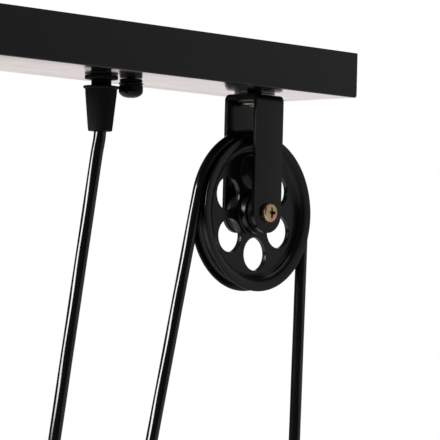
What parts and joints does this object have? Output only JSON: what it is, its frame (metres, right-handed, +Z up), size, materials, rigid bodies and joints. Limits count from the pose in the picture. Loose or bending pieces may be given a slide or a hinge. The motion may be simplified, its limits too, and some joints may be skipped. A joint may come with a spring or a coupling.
{
  "type": "ceiling pulley rack for a rise and fall lamp cord",
  "caption": "Ceiling canopy bar with a fixed grooved pulley, a cord gland and a counterweight block that let a lamp cord rise and fall.",
  "frame": {"origin": "middle of the mounting bar's top face, in the ceiling plane", "axes": "+X along the bar towards the pulley end, +Y to the back, +Z up into the ceiling"},
  "size_m": [0.4, 0.06, 0.3157],
  "materials": {
    "satin_black_paint": "satin black powder coat",
    "gloss_black_paint": "gloss black enamel",
    "black_iron": "turned iron, painted satin black",
    "black_nylon": "moulded, matt",
    "black_pvc": "extruded, smooth gloss",
    "yellow_zinc": "yellow passivated zinc plate, iridescent",
    "bright_zinc": "bright zinc plate",
    "bronze": "sintered, oiled",
    "white_nylon": "moulded, satin",
    "brown_core": "extruded",
    "blue_core": "extruded",
    "green_yellow_core": "extruded, green with a yellow stripe"
  },
  "bodies": {
    "ceiling_side": {"mounting_bar": "bright_zinc", "stud_left": "bright_zinc", "stud_right": "bright_zinc", "stud_nut_left": "bright_zinc", "stud_nut_right": "bright_zinc", "canopy_tray": "satin_black_paint", "cap_nut_washer_left": "black_nylon", "cap_nut_washer_right": "black_nylon", "cap_nut_left": "gloss_black_paint", "cap_nut_right": "gloss_black_paint", "gland_nipple": "black_nylon", "gland_flange_nut": "black_nylon", "gland_lock_nut": "bright_zinc", "gland_grip": "black_nylon", "terminal_block": "white_nylon", "terminal_screw_1": "bright_zinc", "terminal_screw_2": "bright_zinc", "terminal_screw_3": "bright_zinc", "cord_tail": "black_pvc", "core_live": "brown_core", "core_neutral": "blue_core", "core_earth": "green_yellow_core", "earth_screw": "yellow_zinc", "pulley_bracket": "satin_black_paint", "bracket_spacer": "satin_black_paint", "bracket_washer": "yellow_zinc", "bracket_bolt": "yellow_zinc", "bracket_inner_washer": "bright_zinc", "bracket_nut": "bright_zinc", "axle_bolt": "yellow_zinc", "axle_nut": "yellow_zinc", "hub_spacer_front": "gloss_black_paint", "hub_spacer_back": "gloss_black_paint", "cord_gland_run": "black_pvc", "cord_return_run": "black_pvc", "cord_sheave_wrap": "black_pvc", "cord_lamp_run": "black_pvc"},
    "sheave": {"sheave": "gloss_black_paint", "sheave_bush": "bronze"},
    "travelling_block": {"block_yoke": "satin_black_paint", "block_axle_bolt": "yellow_zinc", "block_axle_nut": "yellow_zinc", "block_hub_spacer_front": "gloss_black_paint", "block_hub_spacer_back": "gloss_black_paint", "counterweight": "black_iron", "counterweight_bolt": "yellow_zinc", "counterweight_nut": "yellow_zinc", "cord_block_wrap": "black_pvc"},
    "block_wheel": {"block_wheel": "gloss_black_paint", "block_bush": "bronze"},
    "lamp_end": {"lamp_grip": "black_nylon", "lamp_nipple": "bright_zinc", "lamp_lock_nut": "bright_zinc"}
  },
  "joints": [
    {"name": "lamp_drop", "type": "slide", "parent": "ceiling_side", "child": "lamp_end", "axis": [-0.0192, 0, -0.9998], "range_m": [-0.08, 0.2], "deforming": ["cord_lamp_run"]},
    {"name": "block_travel", "type": "slide", "parent": "ceiling_side", "child": "travelling_block", "axis": [-0.1981, 0, -0.9802], "range_m": [-0.1001, 0.0401], "deforming": ["cord_gland_run", "cord_return_run"]},
    {"name": "sheave_spin", "type": "hinge", "parent": "ceiling_side", "child": "sheave", "pos_m": [0.154, 0, -0.0841], "axis": [0, 1, 0], "range_deg": [-118, 292]},
    {"name": "block_wheel_spin", "type": "hinge", "parent": "travelling_block", "child": "block_wheel", "pos_m": [0.04484, 0, -0.23872], "axis": [0, 1, 0], "range_deg": [-188, 76]}
  ],
  "couplings": [
    {"joint": "block_travel", "follows": "lamp_drop", "ratio": -0.5},
    {"joint": "sheave_spin", "follows": "lamp_drop", "rad_per_m": 25.316},
    {"joint": "block_wheel_spin", "follows": "lamp_drop", "rad_per_m": -16.287}
  ]
}
